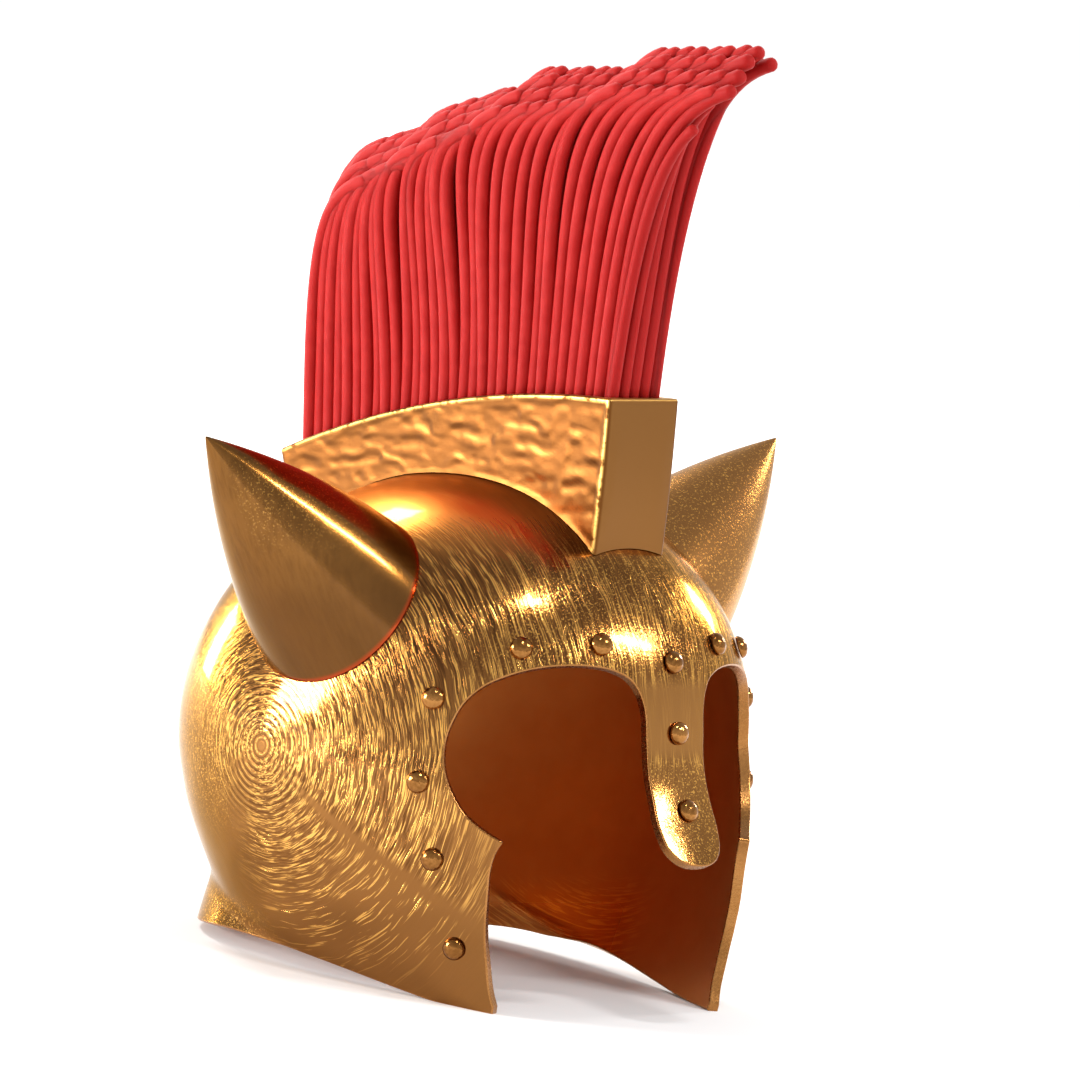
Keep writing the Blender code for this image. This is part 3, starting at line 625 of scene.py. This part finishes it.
# ---------------------------------------------------------------- closed loops of points
def rings(loops, cap_first=True, cap_last=True):
    n, faces = len(loops[0]), []
    for i in range(len(loops) - 1):
        for k in range(n):
            a, b = i * n + k, i * n + (k + 1) % n
            faces.append((a, b, b + n, a + n))
    if cap_first:
        faces.append(tuple(range(n)))
    if cap_last:
        faces.append(tuple(range((len(loops) - 1) * n, len(loops) * n)))
    return [p for loop in loops for p in loop], faces


# ---------------------------------------------------------------- horns
def outside_dome(point):
    def value(x, f, z):
        z = max(min(z, DOME_TOP - 0.5), 0)
        along = DOME_FRONT if f > 0 else DOME_BACK
        power = FRONT_FULLNESS if f > 0 else 2.0
        side = DOME_SIDE * math.sqrt(1 - (z / DOME_TOP) ** 2)
        reach = along * (1 - (z / DOME_TOP) ** power) ** (1 / power)
        return (x / side) ** 2 + (f / reach) ** 2 - 1

    x, f, z = point
    e = 0.05
    slope = Vector((value(x + e, f, z) - value(x - e, f, z), value(x, f + e, z) - value(x, f - e, z), value(x, f, z + e) - value(x, f, z - e))) / (2 * e)
    return value(x, f, z) / slope.length


def horn_points(around, along):
    axis = (HORN_FOOT - HORN_TIP).normalized()
    first = axis.cross(Vector((0, 0, 1))).normalized()
    second = axis.cross(first)

    def at(s, angle, inset):
        radius = HORN_SLOPE * s - HORN_BEND * s * s - inset
        return HORN_TIP + axis * s + (first * math.cos(angle) + second * math.sin(angle)) * radius

    def foot(angle, inset):
        low, high = 100.0, 330.0
        for _ in range(36):
            s = (low + high) / 2
            low, high = (s, high) if outside_dome(at(s, angle, inset)) > GAP else (low, s)
        return low

    angles = [2 * math.pi * k / around for k in range(around)]
    loops, near = [], []
    for k in range(1, 7):
        a = math.radians(60.75 * k / 7)
        near += [0.0] * around
        loops.append([HORN_TIP + axis * (3.27 - 1.6 * math.cos(a)) + (first * math.cos(b) + second * math.sin(b)) * 1.6 * math.sin(a) for b in angles])
    for inset, start in ((0.0, 2.5), (HORN_WALL * 1.1, HORN_WALL * 3.2)):
        ends = [foot(a, inset) for a in angles]
        one = []
        for i in range(along + 1):
            t = (i / along) ** 1.15
            stop = 1.1 if inset == 0 else 0.0
            one.append([at(start + (end - stop - start) * t, a, inset) for a, end in zip(angles, ends)])
            if inset == 0:
                near += [max(0.0, 1 - (end - stop - start) * (1 - t) / 9) for end in ends]
        if inset == 0:
            one.append([at(end - 0.45, a, 0.18) for a, end in zip(angles, ends)])
            one.append([at(end - 0.08, a, 0.55) for a, end in zip(angles, ends)])
            one.append([at(end, a, 1.2) for a, end in zip(angles, ends)])
            near += [1.0] * (3 * around)
        loops += one if inset == 0.0 else one[::-1]
    points, faces = rings(loops)
    return points, faces, near + [0.0] * (len(points) - len(near))


points, faces, near = horn_points(128, 90)
points = np.array([tuple(p) for p in points])
for side, mirror in (("left", 1), ("right", -1)):
    horn = stands_for(mesh_object("horn_" + side + "_fine", points * (mirror, 1, 1), faces, [horn_brass]), "horn_brass", "horn_" + side)
    # foot says how strongly the painted reflection at the horn's foot is laid on
    horn.data.attributes.new("foot", "FLOAT", "POINT").data.foreach_set("value", np.array(near, np.float32))


# ---------------------------------------------------------------- crest box
def value_noise(x, y, seed):
    """Smooth random heights on a square grid, from -1 to 1."""
    spots = np.random.default_rng(seed).uniform(-1, 1, (64, 64))
    i, j = np.floor(x).astype(int), np.floor(y).astype(int)
    u, v = x - i, y - j
    u, v = u * u * u * (u * (u * 6 - 15) + 10), v * v * v * (v * (v * 6 - 15) + 10)
    a, b, c, d = (spots[(i + di) % 64, (j + dj) % 64] for di, dj in ((0, 0), (1, 0), (0, 1), (1, 1)))
    return (a * (1 - u) + b * u) * (1 - v) + (c * (1 - u) + d * u) * v


def hammered(f, z, seed):
    """Height of the hammering: long shallow dents that wind about, and smaller ones across them."""
    bend = 5.0 * value_noise(f / 31, z / 37, seed + 5)
    long = value_noise(f / 24 + 0.5 * value_noise(f / 14, z / 12, seed + 9), (z + 1.7 * bend) / 9.5, seed)
    small = value_noise(f / 11, z / 6, seed + 1)
    return 0.85 * long + 0.22 * small


def crest_points():
    corner, top_round = 3.0, 2.6
    spread = 2.4
    loops = []
    n_long = round(440 / spread)
    n_end = round((2 * CREST_HALF - 2 * corner) / (spread * 1.2))
    quarter = 5
    base = []  # sides the point lies on, its outward direction in x and f, and how far along a straight run it is
    for sx, sf, from_side in ((1, 1, True), (-1, 1, False), (-1, -1, True), (1, -1, False)):
        for k in range(quarter + 1):
            a = math.pi / 2 * k / quarter
            if from_side:
                nx, nf = sx * math.cos(a), sf * math.sin(a)
            else:
                nx, nf = sx * math.sin(a), sf * math.cos(a)
            base.append((sx, sf, nx, nf, None))
        if (sx, sf) in ((1, 1), (-1, -1)):
            for k in range(1, n_end):
                base.append((None, sf, 0.0, float(sf), (k / n_end, sx)))
        else:
            for k in range(1, n_long):
                base.append((sx, None, float(sx), 0.0, (k / n_long, sf)))

    def loop_at(t, inset, f_low, f_high, fixed_half=None):
        """Points of one loop: corners rounded, everything moved in by inset."""
        half = (CREST_HALF if fixed_half is None else fixed_half) - inset
        low, high = f_low + inset, f_high - inset
        r = max(corner - inset, 0.4)
        found = []
        for sx, sf, nx, nf, run in base:
            if run is None:
                found.append((sx * (half - r) + nx * r, (high - r if sf > 0 else low + r) + nf * r, nx, nf))
            elif sx is None:
                k, from_sx = run
                x = from_sx * (half - r) * (1 - 2 * k)
                found.append((x, high if sf > 0 else low, nx, nf))
            else:
                k, from_sf = run
                a, b = (high - r, low + r) if from_sf > 0 else (low + r, high - r)
                found.append((sx * half, a + (b - a) * k, nx, nf))
        return np.array(found)

    rows = round(96 / spread)
    slope_shading, edge_highlight = [], []
    for i in range(rows + 1):
        t = i / rows
        low = CREST_FOOT_F[0] + (CREST_TOP_F[0] - CREST_FOOT_F[0]) * t
        high = CREST_FOOT_F[1] + (CREST_TOP_F[1] - CREST_FOOT_F[1]) * t
        at = loop_at(t, 0.0, low, high)
        # the foot follows the dome under it, point by point
        foot_here = np.array([dome_z(x, f) + 1.0 for x, f in at[:, :2]])
        top_here = crest_z(at[:, 1]) - top_round
        z = foot_here + (top_here - foot_here) * t
        # hammering on the long sides, fading out along the edges
        side = np.abs(at[:, 2])
        near_end = np.minimum(at[:, 1] - low, high - at[:, 1])
        fade = step(0.7, 1.0, side) * step(2, 9, near_end) * step(2, 9, top_here + top_round - z) * step(0, 5, z - foot_here)
        dents = hammered(at[:, 1] + 300, z + 100 * (at[:, 0] > 0) + 40, 3)
        # slight bow of the end faces, fullest at mid height
        bow = 2.2 * math.sin(math.pi * t) * np.abs(at[:, 3]) * step(0, 30, CREST_HALF - np.abs(at[:, 0]) + 12)
        x = at[:, 0] + at[:, 2] * (dents * 0.8 - 0.6) * fade
        rise = hammered(at[:, 1] + 300, z + 2 + 100 * (at[:, 0] > 0) + 40, 3) - hammered(at[:, 1] + 300, z - 2 + 100 * (at[:, 0] > 0) + 40, 3)
        # painted light and shade: where the surface leans up it is painted lighter, as if catching the light, and where
        # it leans down darker
        slope_shading.append(np.clip(0.47 - rise * 0.34 * fade, 0, 1))
        # painted highlight along the top and front edges of the sides
        edge_highlight.append(np.clip(step(0.6, 1.0, side) * (step(5.5, 2.0, top_here + top_round - z) + step(6.5, 2.5, high - at[:, 1])), 0, 1))
        f = at[:, 1] + at[:, 3] * bow
        loops.append(np.stack([x, f, z], axis=-1))
    for a in np.radians((22.5, 45, 67.5, 90)):
        inset = top_round * (1 - math.cos(a))
        at = loop_at(1, inset, CREST_TOP_F[0], CREST_TOP_F[1])
        z = crest_z(at[:, 1]) - top_round * (1 - math.sin(a))
        loops.append(np.stack([at[:, 0], at[:, 1], z], axis=-1))
    # the top's flat border, then down into the slot
    slot_half, slot_low, slot_high = 38.5, PLUME_ROOT[0] - 9.0, PLUME_ROOT[1] + 10.5
    outer = loop_at(1, top_round, CREST_TOP_F[0], CREST_TOP_F[1])
    inner = loop_at(1, 0.0, slot_low, slot_high, slot_half)
    for t, drop in ((0.33, 0.0), (0.66, 0.0), (0.94, 0.0), (0.985, 0.25), (1.0, 0.9), (1.0, 9.0), (1.0, 24.0)):
        at = outer[:, :2] * (1 - t) + inner[:, :2] * t
        z = crest_z(at[:, 1]) - drop
        loops.append(np.stack([at[:, 0], at[:, 1], z], axis=-1))
    plain = len(loops) - len(slope_shading)
    slope_shading = np.concatenate(slope_shading + [np.full(len(base), 0.47)] * plain)
    edge_highlight = np.concatenate(edge_highlight + [np.full(len(base), 0.45)] * plain)
    return rings([list(map(tuple, loop)) for loop in loops], cap_first=False, cap_last=False), slope_shading, edge_highlight


(points, faces), slope_shading, edge_highlight = crest_points()
crest = stands_for(mesh_object("crest_fine", points, faces, [crest_brass]), "crest_brass", "crest_box")
for title, values in (("slope_shading", slope_shading), ("edge_highlight", edge_highlight)):
    crest.data.attributes.new(title, "FLOAT", "POINT").data.foreach_set("value", values.astype(np.float32))


# ---------------------------------------------------------------- plume
# tips of the near row by column: f and z. The second row lies halfway between these and the rows behind.
NEAR_TIPS = ((0, -109, 555), (7, -44, 577), (8, -34, 586), (15, 56, 609), (16, 80, 622), (23, 226, 633), (24, 246, 643), (31, 404, 640))


def tip_of(column, row_drop):
    for first, last, f0, f1, z0, z1 in PLUME_GROUPS:
        if column <= last + 0.5:
            t = (column - first) / (last - first)
            f, z = f0 + (f1 - f0) * t - row_drop * (0.72 - 0.6 * column / 31), z0 + (z1 - z0) * t + row_drop * (0.65 + 0.35 * column / 31)
            near = {-40: 1.0, -21: 0.5}.get(row_drop, 0.0)
            columns, fs, zs = zip(*NEAR_TIPS)
            shift = 0.62 * (row_drop + 40)
            return (
                f * (1 - near) + near * (float(np.interp(column, columns, fs)) - 0.3 * shift),
                z * (1 - near) + near * (float(np.interp(column, columns, zs)) + shift),
            )
    return None


def strand_curve(column, row, x, drop, chance):
    """Middle line of one strand in x, f, z, with a little irregularity of its own."""
    u = column / 31
    root = np.array([x * 0.955, PLUME_ROOT[0] + (PLUME_ROOT[1] - PLUME_ROOT[0]) * u, 0.0])
    root[2] = float(crest_z(root[1])) - 16
    tf, tz = tip_of(column, drop)
    pair = 0.6 if column % 2 else -0.6
    lean = chance.uniform(-1, 1, 8)
    loose = 3.2 if row < 2 and 7 <= column <= 17 else 1.0
    tip = np.array([x * 1.02 + 0.9 * lean[0], tf - pair + 0.8 * lean[1], tz + 0.9 * lean[2]])
    rise = tip[2] - root[2]
    sway = (drop + 11) * 0.28 * u
    # the outer rows' strands lean together in small groups, most of all in the middle
    group = math.sin(2 * math.pi * (column + 1.3 * math.sin(column * 0.8)) / 5.3 + 0.6 + row) * (1.0 if row in (0, 1, 4) else 0.4)
    group *= float(step(2, 8, column)) * (1 - 0.7 * float(step(19, 27, column)))
    one = root + np.array([0.8 * lean[3] + 1.2 * group, 8 + 31 * u + sway + 1.5 * loose * lean[4] + 5.0 * group, rise * (0.62 - 0.02 * u)])
    two = tip + np.array([0.6 * lean[5] - 0.3 * lean[0] - 0.8 * group, sway - 80 - 20 * u + 2.8 * loose * lean[6] + 3.5 * group, -14 - 8 * u + 3.0 * lean[7]])
    return root, one, two, tip


def tube(root, one, two, tip, radius, around, along, phase):
    """Round tube along a cubic curve, with a rounded end at the tip."""
    t = np.linspace(0, 1, along) ** 0.92
    T = t[:, None]
    path = root * (1 - T) ** 3 + 3 * one * T * (1 - T) ** 2 + 3 * two * T * T * (1 - T) + tip * T**3
    ahead = np.gradient(path, axis=0)
    ahead /= np.linalg.norm(ahead, axis=1, keepdims=True)
    side = np.tile([1.0, 0.0, 0.0], (along, 1))
    side -= ahead * (side * ahead).sum(axis=1, keepdims=True)
    side /= np.linalg.norm(side, axis=1, keepdims=True)
    other = np.cross(ahead, side)
    a = 2 * math.pi * (np.arange(around) + phase) / around
    swell = radius * (1 + 0.05 * np.sin(t * 9 + phase * 7) + 0.06 * step(0.85, 1.0, t))
    loops = [path[i] + swell[i] * (np.cos(a)[:, None] * side[i] + np.sin(a)[:, None] * other[i]) for i in range(along)]
    end, r = path[-1], swell[-1]
    for b in np.radians((25, 50, 72)):
        loops.append(end + ahead[-1] * r * 0.85 * math.sin(b) + r * math.cos(b) * (np.cos(a)[:, None] * side[-1] + np.sin(a)[:, None] * other[-1]))
    points = np.concatenate(loops)
    n, count = around, len(loops)
    faces = []
    for i in range(count - 1):
        for k in range(n):
            p, q = i * n + k, i * n + (k + 1) % n
            faces.append((p, q, q + n, p + n))
    faces.append(tuple(range(n))[::-1])
    faces.append(tuple(range((count - 1) * n, count * n)))
    return points, faces


def make_plume():
    chance = np.random.default_rng(11)
    around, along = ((12, 26))
    points, faces, front, base = [], [], [], 0
    for row, (x, drop) in enumerate(STRAND_ROWS):
        for column in range(32):
            # neighbours stand a little in and out, so that no light shows between the rows
            aside = (0.0, 1.5)[column % 2] if row in (0, 4) else (-1.1, 1.1)[column % 2]
            curve = strand_curve(column, row, x - aside * (1 if x >= 0 else -1), drop, chance)
            p, f = tube(*curve, STRAND * chance.uniform(1.04, 1.12), around, along, (column * 0.37 + row * 0.21) % 1)
            points.append(p)
            # front: how much darker these strands are painted, as painted shade on the front of the plume
            front += [0.9 if column == 31 else 0.45 if column == 30 and row else 0.0] * len(p)
            faces += [tuple(i + base for i in face) for face in f]
            base += len(p)
    # the short strands at the front edge, below the long ones
    for x, (f, z), shrink in ((-31, (352, 603), 0.9), (-15.5, (360, 629), 0.9), (30, (366, 661), 0.9)):
        column = 31
        root, one, two, _ = strand_curve(column, 0, x, 0, chance)
        root = root + np.array([0, 2, 0])
        tip = np.array([x, f, z], float)
        rise = tip[2] - root[2]
        one = root + np.array([0, 30, rise * 0.5])
        two = tip + np.array([0, -60, -34])
        p, fc = tube(root, one, two, tip, STRAND * shrink, around, along, 0.3)
        points.append(p)
        # painted shade on the short front strands too
        front += [0.8] * len(p)
        faces += [tuple(i + base for i in face) for face in fc]
        base += len(p)
    return np.concatenate(points), faces, front


points, faces, front = make_plume()
plume = stands_for(mesh_object("plume_strands", points, faces, [plume_red]), "plume_red", "plume")
plume.data.attributes.new("front", "FLOAT", "POINT").data.foreach_set("value", np.array(front, np.float32))


# ---------------------------------------------------------------- rivets
def rivet_points(x, z):
    p, q = disc_of(x, z)
    seat, normal = Vector(skin(p, q)), Vector(skin_normal(np.float64(p), np.float64(q)))
    side = normal.cross(Vector((0, 0, 1))).normalized()
    up = side.cross(normal)
    around = 40
    profile = [(0.0, 0.90), (0.03, 0.965), (0.08, 1.0)]
    profile += [(0.10 + 0.90 * math.sin(a), math.cos(a)) for a in np.radians((8, 18, 28, 38, 48, 58, 68, 78, 85))]
    loops = []
    for height, radius in profile:
        loops.append([seat + normal * (GAP + height * RIVET_HEIGHT) + (side * math.cos(a) + up * math.sin(a)) * radius * RIVET_RADIUS for a in (2 * math.pi * k / around for k in range(around))])
    points, faces = rings(loops)
    return np.array([tuple(v) for v in points]), faces


for name, x, z in RIVETS:
    for sign, ending in ((-1, "_right"), (1, "_left")) if x else ((1, ""),):
        points, faces = rivet_points(sign * x, z)
        obj = mesh_object("rivet_fine_" + name + ending, points, faces, [rivet_brass])
        stands_for(obj, "rivet_brass", "rivet_" + name + ending)


# ---------------------------------------------------------------- stage
def paper(name, colour, rough):
    n = Nodes(name)
    spot = n.tree.nodes.new("ShaderNodeTexCoord").outputs["Object"]
    grain = n.noise(spot, 60.0, 2.0, 0.5)
    n.put(n.shader.inputs["Base Color"], n.mix(grain, colour, tuple(min(c * 1.02, 1) for c in colour)))
    n.shader.inputs["Roughness"].default_value = rough
    n.shader.inputs["Specular IOR Level"].default_value = 0.1
    n.shader.inputs["Emission Color"].default_value = (1, 1, 1, 1)
    apart = n.add("ShaderNodeVectorMath", {"operation": "LENGTH"})
    n.put(apart.inputs[0], spot)
    n.put(n.shader.inputs["Emission Strength"], n.range(apart.outputs["Value"], 0.35, 1.6, 0.02, 0.60))
    return n.material


mesh = bpy.data.meshes.new("floor")
around = [2 * math.pi * k / 96 for k in range(96)]
verts = [(r * math.cos(a), r * math.sin(a), z) for r, z in ((2.97, -0.03), (3.0, -0.004), (2.995, 0.0)) for a in around]
quads = [(i * 96 + k, i * 96 + (k + 1) % 96, (i + 1) * 96 + (k + 1) % 96, (i + 1) * 96 + k) for i in range(2) for k in range(96)]
mesh.from_pydata(verts, [], quads + [tuple(range(192, 288)), tuple(range(96))[::-1]])
mesh.materials.append(paper("floor_white", (0.91, 0.91, 0.91), 0.8))
floor = bpy.data.objects.new("floor", mesh)
bpy.context.scene.collection.objects.link(floor)


# ---------------------------------------------------------------- camera
def direction(v):
    return Vector(turned([v])[0]).normalized()


right = direction((0.7071, 0.7071, 0))
top = direction((0, 0, 1))
back = right.cross(top).normalized()
middle = Vector(SHIFT) + right * 75 * UNIT + top * 196 * UNIT
camera = bpy.data.cameras.new("camera")
camera.sensor_width, camera.lens = 36.0, 1300.0
camera.clip_start, camera.clip_end = 1.0, 60.0
eye = bpy.data.objects.new("camera", camera)
distance = 1080 * UNIT * camera.lens / 36.0
eye.matrix_world = Matrix.Translation(middle + back * distance) @ Matrix((right, top, back)).transposed().to_4x4()
bpy.context.scene.collection.objects.link(eye)
bpy.context.scene.camera = eye

# ---------------------------------------------------------------- light
world = bpy.data.worlds.new("studio")
bpy.context.scene.world = world
world.use_nodes = True
tree = world.node_tree
shade = tree.nodes["Background"]
coord = tree.nodes.new("ShaderNodeTexCoord")
split = tree.nodes.new("ShaderNodeSeparateXYZ")
ramp = tree.nodes.new("ShaderNodeValToRGB")
lift = tree.nodes.new("ShaderNodeMapRange")
tree.links.new(coord.outputs["Generated"], split.inputs[0])
tree.links.new(split.outputs[2], lift.inputs["Value"])
lift.inputs["From Min"].default_value, lift.inputs["From Max"].default_value = -1.0, 1.0
tree.links.new(lift.outputs[0], ramp.inputs[0])
ramp.color_ramp.elements[0].position, ramp.color_ramp.elements[0].color = 0.50, (1.02, 1.02, 1.02, 1)
ramp.color_ramp.elements[1].position, ramp.color_ramp.elements[1].color = 0.92, (0.50, 0.50, 0.50, 1)
tree.links.new(ramp.outputs[0], shade.inputs["Color"])
shade.inputs["Strength"].default_value = 1.0

heart = Vector(SHIFT) + Vector(turned([(0, 0, 60)])[0])


def softbox(name, azimuth, elevation, far, width, height, power, tilt=0.0):
    """Area light aimed at the helm. Azimuth 0 is in front of it, and grows towards the wearer's left."""
    a, e = math.radians(azimuth), math.radians(elevation)
    to = Vector((math.sin(a) * math.cos(e), -math.cos(a) * math.cos(e), math.sin(e)))
    light = bpy.data.lights.new(name, "AREA")
    light.shape, light.size, light.size_y, light.energy = "RECTANGLE", width, height, power
    obj = bpy.data.objects.new(name, light)
    obj.matrix_world = Matrix.Translation(heart + to * far) @ to.to_track_quat("Z", "Y").to_matrix().to_4x4() @ Matrix.Rotation(math.radians(tilt), 4, "Z")
    bpy.context.scene.collection.objects.link(obj)
    return obj


softbox("front", 28.5, 39, 2.4, 0.92, 0.13, 27, -28)
softbox("side", -124, 9, 2.4, 0.80, 0.50, 68)
softbox("behind", 178, 4, 2.4, 0.40, 0.50, 24)
softbox("over", -31, 66, 2.4, 0.30, 0.13, 12)
softbox("far_side", 97, 19, 2.4, 0.30, 0.40, 15)
softbox("rear", 164, 42, 2.4, 0.62, 0.36, 29)

scene = bpy.context.scene
scene.view_settings.view_transform = "Standard"
scene.view_settings.look = "None"
scene.view_settings.exposure = 0.0
scene.view_settings.gamma = 1.0
